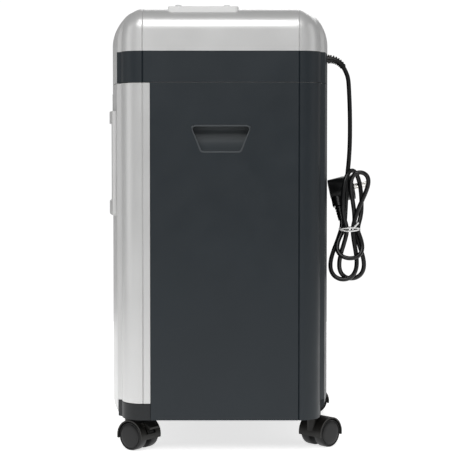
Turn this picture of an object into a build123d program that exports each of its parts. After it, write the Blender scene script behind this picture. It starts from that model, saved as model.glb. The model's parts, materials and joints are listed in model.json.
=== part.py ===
from build123d import *
import math
import os

os.makedirs("parts", exist_ok=True)

# A free-standing office paper shredder on four casters. Millimetres, +Z up, the floor at Z = 0,
# the pull-out bin faces -Y and the mains cord leaves the back at +Y.

# ---------------------------------------------------------------- driving dimensions
# plan of the housing
HALF_WIDTH = 195.0
SIDE_FLAT = 107.8          # the sides are flat for this far either side of the middle
CORNER_R = 31.0
CREASE_X = 157.0           # where the bowed front and back centres begin
CREASE_Y = 145.5
FRONT_BOW = 161.0          # furthest point of the bowed front
BACK_BOW = 157.0
WALL = 3.0
GROOVE_WIDTH = 2.4
GROOVE_DEPTH = 1.3

# heights
BODY_BOTTOM = 48.9
FRONT_BOTTOM = 46.0        # the bin's silver centre hangs a little lower than the base
BACK_BOTTOM = 58.0         # the back panel's turned-under foot
BASE_TOP = 71.2
WRAP_BOTTOM = 72.2
CABINET_TOP = 516.0
BAND_BOTTOM = 516.6
BAND_TOP = 559.6
COVER_TOP = 619.0
COVER_LEVELS = (559.6, 566.0, 573.0, 581.0, 589.0, 596.0, 602.0, 607.0, 611.0, 614.0, 616.5, 618.2, 619.0)
SHOULDER_R = 29.0          # rounding of the cover over its sides
END_R = 46.0               # rounding of the cover over its front and back
PANEL_TOP = 621.3

# front window and hand grips
WINDOW_BOTTOM = 331.0
WINDOW_TOP = 478.0
WINDOW_HALF = 148.0
WINDOW_BORDER = 17.0
PROUD = 5.0                # the window frame stands this far out of the front
SEAM_Y = -97.4             # the silver front wraps round the corners to here
FOOT_Y = 141.2             # inner face of the solid feet of the front and back
GRIP_BOTTOM = 421.5
GRIP_TOP = 456.0
GRIP_HALF_TOP = 41.0
GRIP_HALF_BOTTOM = 26.5
GRIP_DEPTH = 22.0
PULL_HALF = 58.0           # finger pull above the window
PULL_LOW = 480.0
PULL_HIGH = 502.0
PULL_DEPTH = 14.0

# feed panel on the cover
PANEL_HALF = 184.0
PANEL_FRONT = -73.0
PANEL_BACK = 24.4
PAPER_SLOT = (230.0, 6.0)
PAPER_SLOT_Y = -35.0
CARD_SLOT = (124.0, 6.0)
CARD_SLOT_Y = -54.0
PANEL_LEDGE = 0.5          # the panel sits in a recess this deep in the cover
PANEL_BOX = (-176.7, 176.7, -65.7, 16.7)     # low X, high X, low Y, high Y of its skirt
INSERT_BOX = (-120.9, 120.9, -62.7, -25.7)   # the opening that the feed throat fills
BUTTON_X = 168.0
BUTTON_R = 5.2
BUTTON_PLACES = (("power_button", -59.0, 3.2), ("reverse_button", 8.6, 2.6))
BUTTON_GAP = 0.3
LIGHT_ROW = (-38.0, -26.0, -14.0)
LIGHT_R = 2.0

# cutting block: two shafts along X, geared together, driven from a motor by two stages
SHAFT_Z = 560.0
SHAFT_GAP = 33.0           # distance between the two cutter shafts
FRONT_SHAFT_Y = PAPER_SLOT_Y - SHAFT_GAP / 2
REAR_SHAFT_Y = PAPER_SLOT_Y + SHAFT_GAP / 2
JOURNAL_R = 6.0
SPACER_R = 13.5
DISC_R = 18.0
DISC_WIDTH = 3.6
DISC_PITCH = 8.0
DISC_COUNT = 28
PLATE_X = 125.0            # inner face of the block's steel side plates
PLATE_THICK = 3.0
RUNNING = 0.05             # radial clearance of a running fit
SYNC_TEETH = 22
DRIVE_TEETH = 42
PINION_TEETH = 14
IDLER_TEETH = 56
COARSE = 1.5               # gear modules
FINE = 1.0
IDLER_Y = REAR_SHAFT_Y + COARSE * (DRIVE_TEETH + PINION_TEETH) / 2
MOTOR_TURN = -12.0         # direction from the idler to the motor shaft, degrees
MOTOR_REACH = FINE * (IDLER_TEETH + PINION_TEETH) / 2
MOTOR_Y = IDLER_Y + MOTOR_REACH * math.cos(math.radians(MOTOR_TURN))
MOTOR_Z = SHAFT_Z + MOTOR_REACH * math.sin(math.radians(MOTOR_TURN))
MOTOR_R = 31.0
FRONT_SHAFT = (FRONT_SHAFT_Y, SHAFT_Z)     # Y, Z of each axis
REAR_SHAFT = (REAR_SHAFT_Y, SHAFT_Z)
IDLER = (IDLER_Y, SHAFT_Z)
MOTOR = (MOTOR_Y, MOTOR_Z)
IDLER_R = 5.0
MOTOR_SHAFT_R = 3.5
GEARBOX_X = 160.5          # inner face of the outer plate
BUSH_R = 9.0
ROD_R = 4.0
RODS = ((-71.0, 531.0), (-71.0, 589.0), (6.0, 531.0), (6.0, 594.0))
PILLARS = ((-74.0, 575.0), (2.0, 595.5), (76.0, 578.0), (2.0, 525.5))
PRESSURE = math.radians(20)
BACKLASH = 0.16

# control board, on posts in the head
BOARD_LOW = (-116.0, 34.0, 524.0)
BOARD_HIGH = (-12.0, 104.0, 525.6)

# waste bin
BIN_HALF = 165.0
BIN_FRONT = -141.0
BIN_BACK = 125.0
BIN_FLOOR = 74.0
BIN_TOP = 470.0
BIN_WALL = 2.5

# casters: stem place, and the way that the wheels trail from it, degrees from +X
WHEEL_R = 20.0
WHEEL_INNER = 5.5
WHEEL_OUTER = 21.0
TRAIL = 17.0
STEM_R = 4.0
AXLE_R = 3.0
AXLE_HALF = 17.0
BRAKE_PIVOT = (17.0, 17.0)        # in the wheel's plane: along the trail, and upwards
BRAKE_PIN_R = 1.25
BRAKE_LEVER = ((14.2, 17.6), (16.4, 20.2), (19.0, 19.8), (29.0, 14.0), (28.6, 11.0), (20.0, 12.2))
HOOD_R = 22.8
CASTER_X = 136.0
CASTER_Y = 130.0
CASTERS = (
    ("front_right", 1, -1, 53.0),
    ("rear_right", 1, 1, 133.5),
    ("front_left", -1, -1, 24.0),
    ("rear_left", -1, 1, 98.0),
)

# mains cord
CORD_R = 3.2
EXIT_X = 104.0
RELIEF_START = (151.6, 553.0)     # Y, Z on the back wall
RELIEF_END = (175.5, 541.0)
RELIEF_TURN = 66.0
CORD_ROUTE = [
    (104.0, 175.5, 541.0),
    (104.0, 179.9, 533.2),
    (104.0, 182.6, 523.4),
    (104.0, 183.6, 507.4),
    (104.3, 184.9, 478.0),
    (105.0, 185.1, 438.0),
    (106.6, 183.6, 409.0),
    (107.0, 181.4, 389.0),
]
HANK_X = 106.0
HANK_SECTIONS = (                 # Z, middle Y, half width in X, half width in Y
    (234.0, 180.0, 6.0, 12.0),
    (240.0, 181.0, 10.0, 19.0),
    (262.0, 182.0, 12.0, 25.0),
    (288.0, 184.0, 11.0, 18.0),
    (309.0, 185.0, 10.0, 13.5),
    (332.0, 188.0, 11.0, 16.0),
    (362.0, 194.0, 11.5, 19.0),
    (382.0, 195.0, 10.0, 16.0),
    (389.0, 192.0, 6.0, 12.0),
)
TIE_Z = 309.0
TIE_Y = 185.0
PLUG_X = 80.0
PLUG_Y = 175.5
PLUG_Z = 366.0
PLUG_TILT = 11.0           # the pins point this far above level
PLUG_ROLL = -15.0          # and the plug is turned this far about them
PIN_R = 2.4
PIN_GAP = 19.0


def finish(piece, label):
    """Label a finished piece and write it to its own file."""
    piece.part.label = label
    export_step(piece.part, f"parts/{label}.step")


# ---------------------------------------------------------------- shared outlines
def bow_radius(bow):
    """Radius of the bowed centre through both creases and its furthest point."""
    rise = bow - CREASE_Y
    return (CREASE_X**2 + rise**2) / (2 * rise)


def plan_lines(wall=0.0, scale_x=1.0, scale_end=1.0):
    """The housing's closed plan, inset by wall. Past the side flats it can be drawn in, in Y."""

    def point(x, y):
        past = abs(y) - SIDE_FLAT
        return (x * scale_x, math.copysign(SIDE_FLAT + past * scale_end, y))

    flat_x = HALF_WIDTH - wall
    corner_x = HALF_WIDTH - CORNER_R
    corner = CORNER_R - wall
    crease_x = CREASE_X - 0.3 * wall
    crease_y = CREASE_Y - wall
    for side in (-1, 1):
        Line(point(side * flat_x, -SIDE_FLAT), point(side * flat_x, SIDE_FLAT))
    for end, bow in ((-1, FRONT_BOW), (1, BACK_BOW)):
        ThreePointArc(
            point(-crease_x, end * crease_y),
            point(0, end * (bow - wall)),
            point(crease_x, end * crease_y),
        )
        for side in (-1, 1):
            Line(
                point(side * crease_x, end * crease_y),
                point(side * corner_x, end * (SIDE_FLAT + corner)),
            )
            first = {(1, 1): 0, (-1, 1): 90, (-1, -1): 180, (1, -1): 270}[(side, end)]
            EllipticalCenterArc(
                (side * corner_x * scale_x, end * SIDE_FLAT),
                corner * scale_x,
                corner * scale_end,
                start_angle=first,
                arc_size=90,
            )


def plan_face(wall=0.0, scale_x=1.0, scale_end=1.0, mode=Mode.ADD):
    """The plan as a filled face of the sketch in hand."""
    with BuildLine() as outline:
        plan_lines(wall, scale_x, scale_end)
    make_face(outline.edges(), mode=mode)


def keep_box(low, high, mode=Mode.INTERSECT):
    """Keep, add or cut the box between two corners."""
    size = [b - a for a, b in zip(low, high)]
    middle = [(a + b) / 2 for a, b in zip(low, high)]
    with Locations(Location(tuple(middle))):
        Box(*size, mode=mode)


def bow_slab(front, outer, inner, half_x, low, high, mode=Mode.ADD):
    """A slab that follows the bowed front or back, between two offsets from its surface."""
    bow = FRONT_BOW if front else BACK_BOW
    sign = -1 if front else 1
    radius = bow_radius(bow)
    middle = sign * (bow - radius)
    with BuildSketch(Plane.XY.offset(low)) as band:
        with Locations((0, middle)):
            Circle(radius + outer)
            Circle(radius - inner, mode=Mode.SUBTRACT)
        with Locations((0, sign * bow)):
            Rectangle(2 * half_x, 60, mode=Mode.INTERSECT)
    extrude(band.sketch, amount=high - low, mode=mode)


def wall_ring(low, high, outer=0.0, inner=WALL):
    """The housing's wall between two heights."""
    with BuildSketch(Plane.XY.offset(low)) as ring:
        plan_face(outer)
        plan_face(inner, mode=Mode.SUBTRACT)
    extrude(ring.sketch, amount=high - low)


def cut_grooves(low, high):
    """The fine upright grooves where the flat sides meet the corners."""
    with BuildSketch(Plane.XY.offset(low)) as notches:
        for side in (-1, 1):
            for end in (-1, 1):
                x = side * (HALF_WIDTH + 0.01)
                y = end * SIDE_FLAT
                Polygon(
                    (x, y - GROOVE_WIDTH / 2),
                    (x, y + GROOVE_WIDTH / 2),
                    (x - side * GROOVE_DEPTH, y),
                    align=None,
                )
    extrude(notches.sketch, amount=high - low, mode=Mode.SUBTRACT)


# ---------------------------------------------------------------- cabinet
def make_side_panel(side, label):
    """A flat side with its rear corner, open for the hand grip."""
    with BuildPart() as panel:
        wall_ring(BODY_BOTTOM, CABINET_TOP)
        edge = HALF_WIDTH - CORNER_R
        near, far = sorted((side * edge, side * (HALF_WIDTH + 5)))
        keep_box((near, SEAM_Y, 0), (far, 200, 700))
        cut_grooves(BODY_BOTTOM, CABINET_TOP)
        with BuildSketch(Plane.YZ.offset(side * HALF_WIDTH)):
            grip_outline(2.0)
        extrude(amount=10, both=True, mode=Mode.SUBTRACT)
    finish(panel, label)


def grip_outline(grow):
    """The grip's trapezoid seen from the side, with small rounded corners."""
    with BuildLine() as outline:
        FilletPolyline(
            (-GRIP_HALF_TOP - grow, GRIP_TOP + grow),
            (GRIP_HALF_TOP + grow, GRIP_TOP + grow),
            (GRIP_HALF_BOTTOM + grow * 0.8, GRIP_BOTTOM - grow),
            (-GRIP_HALF_BOTTOM - grow * 0.8, GRIP_BOTTOM - grow),
            radius=4.0 + grow,
            close=True,
        )
    make_face(outline.edges())


def scoop_profile(side, depth, foot):
    """Section of the grip: a scoop that deepens upwards, under a level ceiling."""
    face = side * (HALF_WIDTH + 0.6)
    back = side * (HALF_WIDTH - depth)
    with BuildLine() as outline:
        ThreePointArc(
            (face, foot),
            (side * (HALF_WIDTH - depth * 0.66), foot + 12),
            (back, GRIP_TOP - 5),
        )
        Polyline((back, GRIP_TOP - 5), (back, GRIP_TOP + 4), (face, GRIP_TOP + 4), (face, foot))
    make_face(outline.edges())


def make_hand_grip(side, label):
    """A moulded cup set into the side panel, for lifting and moving the machine."""
    wide = 2 * GRIP_HALF_TOP + 20
    with BuildPart() as hollow:
        with BuildSketch(Plane.YZ.offset(side * HALF_WIDTH)):
            grip_outline(0.0)
        extrude(amount=40, both=True)
        with BuildSketch(Plane.XZ.offset(-wide / 2)):
            scoop_profile(side, GRIP_DEPTH, GRIP_BOTTOM)
        extrude(amount=wide, mode=Mode.INTERSECT)
    with BuildPart() as grip:
        with BuildSketch(Plane.YZ.offset(side * HALF_WIDTH)):
            grip_outline(1.9)
        extrude(amount=40, both=True)
        with BuildSketch(Plane.XZ.offset(-wide / 2)):
            scoop_profile(side, GRIP_DEPTH + 2, GRIP_BOTTOM - 3)
        extrude(amount=wide, mode=Mode.INTERSECT)
        near, far = sorted((side * 100, side * (HALF_WIDTH + 0.5)))
        keep_box((near, -100, 400), (far, 100, 500))
        add(hollow.part, mode=Mode.SUBTRACT)
    finish(grip, label)


def make_back_panel():
    """The bowed back, turned under at its foot."""
    with BuildPart() as foot:
        bow_slab(False, 0.0, 13.0, CREASE_X - 2, BACK_BOTTOM, BASE_TOP + 1)
        rim = foot.edges().group_by(Axis.Z)[0].filter_by(GeomType.CIRCLE)
        fillet(rim.sort_by(Axis.Y)[-1], 10)
        keep_box((-200, FOOT_Y, 0), (200, 200, 700))
    with BuildPart() as panel:
        wall_ring(BASE_TOP + 1, CABINET_TOP)
        edge = HALF_WIDTH - CORNER_R - 0.2
        keep_box((-edge, 50, 0), (edge, 200, 700))
        add(foot.part)
    finish(panel, "back_panel")


def make_base_tray():
    """An upturned tray: the deck that the bin runs on, its skirt, and the caster sockets."""
    with BuildPart() as base:
        with BuildSketch(Plane.XY.offset(BODY_BOTTOM)):
            plan_face(WALL + 0.2)
            Rectangle(400, 281, mode=Mode.INTERSECT)
        extrude(amount=BASE_TOP - BODY_BOTTOM)
        for side in (-1, 1):
            with BuildSketch(Plane.XY.offset(BODY_BOTTOM)):
                plan_face()
                with Locations((side * 178.5, SEAM_Y - 0.8 - 30)):
                    Rectangle(41, 60, mode=Mode.INTERSECT)
            extrude(amount=BASE_TOP - BODY_BOTTOM)
        with BuildSketch(Plane.XY.offset(BODY_BOTTOM)):
            plan_face(2 * WALL + 0.2)
            Rectangle(400, 275, mode=Mode.INTERSECT)
        extrude(amount=BASE_TOP - 4 - BODY_BOTTOM, mode=Mode.SUBTRACT)
        places = [(sx * CASTER_X, sy * CASTER_Y) for _, sx, sy, _ in CASTERS]
        with BuildSketch(Plane.XY.offset(50)):
            with Locations(*places):
                Circle(9.0)
        extrude(amount=BASE_TOP - 3 - 50)
        with BuildSketch(Plane.XY.offset(50)):
            with Locations(*places):
                Circle(STEM_R + RUNNING)
        extrude(amount=14.5, mode=Mode.SUBTRACT)
    finish(base, "base_tray")


def make_top_frame():
    """The cabinet's upper frame, which the cutting head sits on."""
    with BuildPart() as frame:
        with BuildSketch(Plane.XY.offset(504)):
            plan_face(WALL)
            with Locations((0, 51)):
                Rectangle(400, 2 * (51 - SEAM_Y - 1), mode=Mode.INTERSECT)
            plan_face(8.0)
            plan_face(20.0, mode=Mode.SUBTRACT)
        extrude(amount=BAND_BOTTOM - 504)
    finish(frame, "top_frame")


def make_bin_rails():
    """Two angle strips on the deck that keep the bin straight."""
    with BuildPart() as rails:
        with BuildSketch(Plane.XZ.offset(95)):
            for side in (-1, 1):
                with BuildLine():
                    Polyline(
                        (side * 166, BASE_TOP),
                        (side * 178, BASE_TOP),
                        (side * 178, BASE_TOP + 2),
                        (side * 168, BASE_TOP + 2),
                        (side * 168, BASE_TOP + 21),
                        (side * 166, BASE_TOP + 21),
                        close=True,
                    )
                make_face()
        extrude(amount=-215)
    finish(rails, "bin_rails")


# ---------------------------------------------------------------- cutting head
def make_head_shell():
    """The dark band: floor and walls of the head, open at the front for the fascia."""
    with BuildPart() as shell:
        with BuildSketch(Plane.XY.offset(BAND_BOTTOM)):
            plan_face()
        extrude(amount=WALL)
        wall_ring(BAND_BOTTOM, BAND_TOP)
        bow_slab(True, 1.0, WALL, CREASE_X, 500, 600, mode=Mode.SUBTRACT)
        keep_box((-CREASE_X, -170, BAND_BOTTOM + WALL), (CREASE_X, -130, 600), Mode.SUBTRACT)
        cut_grooves(BAND_BOTTOM, BAND_TOP)
        keep_box((-122, -58, 510), (122, -12, 525), Mode.SUBTRACT)
        with BuildSketch(Plane.XZ.offset(-140)):
            with Locations((EXIT_X, RELIEF_START[1])):
                Circle(5.2)
        extrude(amount=-30, mode=Mode.SUBTRACT)
    finish(shell, "head_shell")


def make_front_fascia():
    """The silver strip that closes the band across the bowed front."""
    with BuildPart() as fascia:
        bow_slab(True, 0.0, WALL - 0.1, CREASE_X - 0.2, BAND_BOTTOM - 0.4, BAND_TOP)
        for side in (-1, 1):
            with BuildSketch(Plane.XY.offset(BAND_BOTTOM + WALL)):
                with Locations((side * 140, -139.5)):
                    Rectangle(4, 22)
            extrude(amount=30)
        bow_slab(True, 30.0, 0.0, 200, 500, 600, mode=Mode.SUBTRACT)
    finish(fascia, "front_fascia")


def cover_form(wall):
    """The cover's outer form, or the same form a wall thickness in."""
    side = SHOULDER_R - wall
    end = END_R - wall
    end_length = FRONT_BOW - SIDE_FLAT - wall
    top = COVER_TOP - wall
    sections = []
    for level in COVER_LEVELS:
        height = BAND_TOP + (level - BAND_TOP) * (top - BAND_TOP) / (COVER_TOP - BAND_TOP)
        rise_side = max(0.0, height - (COVER_TOP - SHOULDER_R))
        rise_end = max(0.0, height - (COVER_TOP - END_R))
        inset_side = side - math.sqrt(max(0.0, side**2 - rise_side**2))
        inset_end = end - math.sqrt(max(0.0, end**2 - rise_end**2))
        with BuildSketch(Plane.XY.offset(height)) as section:
            plan_face(
                wall,
                1 - inset_side / (HALF_WIDTH - wall),
                1 - inset_end / end_length,
            )
        sections.append(section.sketch)
    loft(sections)


def make_top_cover():
    """The silver cover: rounded over all four sides, with a seat for the feed panel."""
    with BuildPart() as hollow:
        cover_form(WALL)
    with BuildPart() as skin:
        cover_form(GROOVE_DEPTH)
    with BuildPart() as grooves:
        for end in (-1, 1):
            y = end * SIDE_FLAT
            keep_box((-220, y - 1, 550), (220, y + 1, 640), Mode.ADD)
        add(skin.part, mode=Mode.SUBTRACT)
    with BuildPart() as cover:
        cover_form(0.0)
        add(hollow.part, mode=Mode.SUBTRACT)
        add(grooves.part, mode=Mode.SUBTRACT)
        low_x, high_x, low_y, high_y = PANEL_BOX
        keep_box((low_x - 0.3, low_y - 0.3, 590), (high_x + 0.3, high_y + 0.3, 640), Mode.SUBTRACT)
        keep_box(
            (-PANEL_HALF - 0.4, PANEL_FRONT - 0.4, COVER_TOP - PANEL_LEDGE),
            (PANEL_HALF + 0.4, PANEL_BACK + 0.4, COVER_TOP + 1),
            Mode.SUBTRACT,
        )
    finish(cover, "top_cover")


def make_feed_panel():
    """The pale panel across the cover, open for the throat, the buttons and the lenses."""
    low_x, high_x, low_y, high_y = PANEL_BOX
    with BuildPart() as form:
        cover_form(-0.05)
    with BuildPart() as panel:
        with BuildSketch(Plane.XY.offset(606)):
            with Locations((0, (PANEL_FRONT + PANEL_BACK) / 2)):
                RectangleRounded(2 * PANEL_HALF, PANEL_BACK - PANEL_FRONT, 5)
        extrude(amount=PANEL_TOP - 606)
        fillet(panel.faces().sort_by(Axis.Z)[-1].edges(), 1.2)
        add(form.part, mode=Mode.SUBTRACT)
        keep_box((low_x, low_y, 606), (high_x, high_y, COVER_TOP + 0.5), Mode.ADD)
        keep_box((low_x + WALL, low_y + WALL, 600), (high_x - WALL, high_y - WALL, 615), Mode.SUBTRACT)
        keep_box(
            (INSERT_BOX[0], INSERT_BOX[2], 600),
            (INSERT_BOX[1], INSERT_BOX[3], PANEL_TOP + 1),
            Mode.SUBTRACT,
        )
        with BuildSketch(Plane.XY.offset(610)):
            for _, y, _ in BUTTON_PLACES:
                with Locations((BUTTON_X, y)):
                    Circle(BUTTON_R + BUTTON_GAP)
            with Locations(*[(BUTTON_X, y) for y in LIGHT_ROW]):
                Circle(LIGHT_R)
        extrude(amount=20, mode=Mode.SUBTRACT)
    finish(panel, "feed_panel")


def make_indicator_lenses():
    """Three small lenses beside the buttons."""
    with BuildPart() as lenses:
        with BuildSketch(Plane.XY.offset(613)):
            with Locations(*[(BUTTON_X, y) for y in LIGHT_ROW]):
                Circle(LIGHT_R)
        extrude(amount=PANEL_TOP + 0.3 - 613)
    finish(lenses, "indicator_lenses")


def make_button(label, y, dome):
    """A domed push button with a retaining flange under the panel."""
    top = PANEL_TOP + dome
    with BuildPart() as button:
        for low, high, radius in ((608, 611.5, 3.0), (611.5, 612, BUTTON_R - 1), (612, top, BUTTON_R)):
            with BuildSketch(Plane.XY.offset(low)):
                with Locations((BUTTON_X, y)):
                    Circle(radius)
            extrude(amount=high - low)
        fillet(button.edges().group_by(Axis.Z)[-1], dome - 0.4)
    finish(button, label)


def throat_block(x_low, x_high, *corners):
    """One moulded block of the throat, with the same Y, Z section all along."""
    with BuildSketch(Plane.YZ.offset(x_low)) as section:
        Polygon(*corners, align=None)
    extrude(section.sketch, amount=x_high - x_low)


def make_feed_throat():
    """The throat's guide blocks. They leave two slots, which meet over the cutters."""
    low = 584.0
    top = PANEL_TOP
    lead_in = 1.4
    joint = 0.1
    front = INSERT_BOX[2] + 0.3
    back = INSERT_BOX[3] - 0.3
    end = INSERT_BOX[1] - 0.3
    half = PAPER_SLOT[0] / 2
    paper_front = PAPER_SLOT_Y - PAPER_SLOT[1] / 2
    paper_back = PAPER_SLOT_Y + PAPER_SLOT[1] / 2
    card_half = CARD_SLOT[0] / 2
    card_front = CARD_SLOT_Y - CARD_SLOT[1] / 2
    card_back = CARD_SLOT_Y + CARD_SLOT[1] / 2
    chute_top = 606.0
    chute_foot = -44.0
    with BuildPart() as throat:
        throat_block(
            -end,
            end,
            (paper_back, low),
            (back, low),
            (back, top),
            (paper_back + lead_in, top),
            (paper_back, top - lead_in),
        )
        for side in (-1, 1):
            edges = sorted((side * half, side * end))
            inner = paper_back - joint
            throat_block(*edges, (front, low), (inner, low), (inner, top), (front, top))
            edges = sorted((side * card_half, side * (half - joint)))
            throat_block(
                *edges,
                (front, low),
                (paper_front, low),
                (paper_front, top - lead_in),
                (paper_front - lead_in, top),
                (front, top),
            )
        middle = card_half - joint
        throat_block(
            -middle,
            middle,
            (card_back, chute_top),
            (paper_front, chute_top),
            (paper_front, top - lead_in),
            (paper_front - lead_in, top),
            (card_back + lead_in, top),
            (card_back, top - lead_in),
        )
        throat_block(
            -middle,
            middle,
            (front, low),
            (chute_foot, low),
            (card_front, chute_top),
            (front, chute_top),
        )
        throat_block(
            -middle,
            middle,
            (front, chute_top + joint),
            (card_front, chute_top + joint),
            (card_front, top - lead_in),
            (card_front - lead_in, top),
            (front, top),
        )
    finish(throat, "feed_throat")


def make_paper_sensor():
    """The paper sensor, clipped to the back of the throat."""
    with BuildPart() as sensor:
        keep_box((-8, -26, 592), (8, -14, 606), Mode.ADD)
        keep_box((-4, -14, 595), (4, -9, 603), Mode.ADD)
    finish(sensor, "paper_sensor")


def tube_x(x_low, x_high, radius, centre, mode=Mode.ADD):
    """A round bar or hole along X."""
    with BuildSketch(Plane.YZ.offset(x_low)) as section:
        with Locations(centre):
            Circle(radius)
    extrude(section.sketch, amount=x_high - x_low, mode=mode)


def make_cutter_plate(side, label):
    """A steel side plate of the cutting block; the right one also carries the gears and motor."""
    back = 94 if side > 0 else 14
    inner = PLATE_X if side > 0 else -PLATE_X - PLATE_THICK
    with BuildPart() as plate:
        with BuildSketch(Plane.YZ.offset(inner)):
            with Locations(((-80 + back) / 2, 560)):
                RectangleRounded(back + 80, 80, 4)
            with Locations(FRONT_SHAFT, REAR_SHAFT):
                Circle(BUSH_R, mode=Mode.SUBTRACT)
            with Locations(*RODS):
                Circle(ROD_R - 1, mode=Mode.SUBTRACT)
            if side > 0:
                with Locations(IDLER):
                    Circle(IDLER_R + RUNNING, mode=Mode.SUBTRACT)
                with Locations(MOTOR):
                    Circle(13, mode=Mode.SUBTRACT)
        extrude(amount=PLATE_THICK)
        outer = PLATE_X + 10 if side > 0 else -PLATE_X - 10
        low, high = sorted((side * PLATE_X, outer))
        deck = BAND_BOTTOM + WALL
        for y in (-72, back - 12):
            keep_box((low, y - 8, deck), (high, y + 8, deck + 2), Mode.ADD)
    finish(plate, label)


def make_tie_rods():
    """Four rods that hold the side plates apart, shouldered and spigoted."""
    with BuildPart() as rods:
        for centre in RODS:
            tube_x(-PLATE_X, PLATE_X, ROD_R, centre)
            tube_x(-PLATE_X - PLATE_THICK, PLATE_X + PLATE_THICK, ROD_R - 1, centre)
    finish(rods, "tie_rods")


def make_shaft_bushes():
    """Bronze bushes for both cutter shafts, one pair in each plate."""
    with BuildPart() as bushes:
        for start in (PLATE_X - 1, -PLATE_X - PLATE_THICK - 1):
            with BuildSketch(Plane.YZ.offset(start)):
                with Locations(FRONT_SHAFT, REAR_SHAFT):
                    Circle(BUSH_R)
                    Circle(JOURNAL_R + RUNNING, mode=Mode.SUBTRACT)
            extrude(amount=PLATE_THICK + 2)
    finish(bushes, "shaft_bushes")


def make_cutter_shaft(label, y, right_end, shift):
    """A shaft with its row of hooked cutting discs."""
    points = [(-131, 0), (-131, JOURNAL_R), (-123, JOURNAL_R), (-123, SPACER_R)]
    for i in range(DISC_COUNT):
        x = (i - (DISC_COUNT - 1) / 2) * DISC_PITCH + shift
        points += [
            (x - DISC_WIDTH / 2, SPACER_R),
            (x - DISC_WIDTH / 2, DISC_R),
            (x + DISC_WIDTH / 2, DISC_R),
            (x + DISC_WIDTH / 2, SPACER_R),
        ]
    points += [(123, SPACER_R), (123, JOURNAL_R), (right_end, JOURNAL_R), (right_end, 0)]
    with BuildPart() as shaft:
        with BuildSketch(Plane(origin=(0, y, SHAFT_Z), x_dir=(1, 0, 0), z_dir=(0, -1, 0))):
            with BuildLine():
                Polyline(*points, close=True)
            make_face()
        revolve(axis=Axis((0, y, SHAFT_Z), (1, 0, 0)))
        with BuildSketch(Plane.YZ.offset(-120)):
            with Locations((y, SHAFT_Z)):
                with PolarLocations(DISC_R, 6):
                    Polygon((-2.2, 0), (1, 2.6), (1, -0.6), align=None)
        extrude(amount=240, mode=Mode.SUBTRACT)
    finish(shaft, label)


def make_comb(label, shaft_y, side, shift):
    """A bar with plastic fingers that clear the strips from between the discs."""
    bar = shaft_y + side * 24
    with BuildPart() as comb:
        near, far = sorted((bar, bar + side * 5))
        keep_box((-PLATE_X, near, 548), (PLATE_X, far, 572), Mode.ADD)
        for i in range(DISC_COUNT - 1):
            x = (i - (DISC_COUNT - 2) / 2) * DISC_PITCH + shift
            low, high = sorted((shaft_y + side * 9, bar))
            keep_box((x - DISC_WIDTH / 2, low, 551), (x + DISC_WIDTH / 2, high, 569), Mode.ADD)
        tube_x(-PLATE_X, PLATE_X, SPACER_R + 0.6, (shaft_y, SHAFT_Z), mode=Mode.SUBTRACT)
    finish(comb, label)


# ---------------------------------------------------------------- gears and motor
def tooth_points(module, teeth, first_turn):
    """Outline of a spur gear: involute flanks, with a tooth pointing along first_turn degrees."""
    pitch = module * teeth / 2
    base = pitch * math.cos(PRESSURE)
    tip = pitch + 0.8 * module
    root = pitch - 1.1 * module
    start = max(base, root + 0.05)
    half = math.pi / (2 * teeth) - BACKLASH / (2 * pitch)
    half += math.tan(PRESSURE) - PRESSURE

    def turn_at(radius):
        angle = math.acos(min(1.0, base / radius))
        return half - (math.tan(angle) - angle)

    flank = [(start + (tip - start) * i / 3) for i in range(4)]
    profile = [(root, turn_at(start))] + [(r, turn_at(r)) for r in flank]
    points = []
    for i in range(teeth):
        middle = math.radians(first_turn) + 2 * math.pi * i / teeth
        for r, a in profile:
            points.append((r * math.cos(middle - a), r * math.sin(middle - a)))
        for r, a in reversed(profile):
            points.append((r * math.cos(middle + a), r * math.sin(middle + a)))
    return points


def toothed(x_low, x_high, centre, module, teeth, first_turn):
    """A toothed disc along X."""
    with BuildSketch(Plane.YZ.offset(x_low)) as outline:
        with Locations(centre):
            Polygon(*tooth_points(module, teeth, first_turn), align=None)
    extrude(outline.sketch, amount=x_high - x_low)


def lighten(x_low, x_high, centre, ring, radius, count):
    """Round holes in a gear's web."""
    with BuildSketch(Plane.YZ.offset(x_low)) as holes:
        with Locations(centre):
            with PolarLocations(ring, count):
                Circle(radius)
    extrude(holes.sketch, amount=x_high - x_low, mode=Mode.SUBTRACT)


def make_sync_gear(label, centre, first_turn):
    """One of the pair that turns the cutter shafts against each other."""
    with BuildPart() as gear:
        toothed(131, 139, centre, COARSE, SYNC_TEETH, first_turn)
        tube_x(130, 140, JOURNAL_R, centre, mode=Mode.SUBTRACT)
    finish(gear, label)


def make_drive_gear():
    """The large gear on the rear cutter shaft; a tooth points at the idler."""
    with BuildPart() as gear:
        toothed(142, 150, REAR_SHAFT, COARSE, DRIVE_TEETH, 0)
        lighten(141, 151, REAR_SHAFT, 18.5, 5, 6)
        tube_x(140, 152, JOURNAL_R, REAR_SHAFT, mode=Mode.SUBTRACT)
    finish(gear, "drive_gear")


def make_idler_gear():
    """The compound gear between motor and cutters, one piece with its spindle."""
    half_pinion = 180 / PINION_TEETH
    half_idler = 180 / IDLER_TEETH
    with BuildPart() as gear:
        toothed(142, 151.5, IDLER, COARSE, PINION_TEETH, 180 + half_pinion)
        toothed(151.5, 158, IDLER, FINE, IDLER_TEETH, MOTOR_TURN + half_idler)
        lighten(151.6, 159, IDLER, 18.5, 5, 6)
        tube_x(PLATE_X - 1, GEARBOX_X + 3.5, IDLER_R, IDLER)
    finish(gear, "idler_gear")


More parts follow.
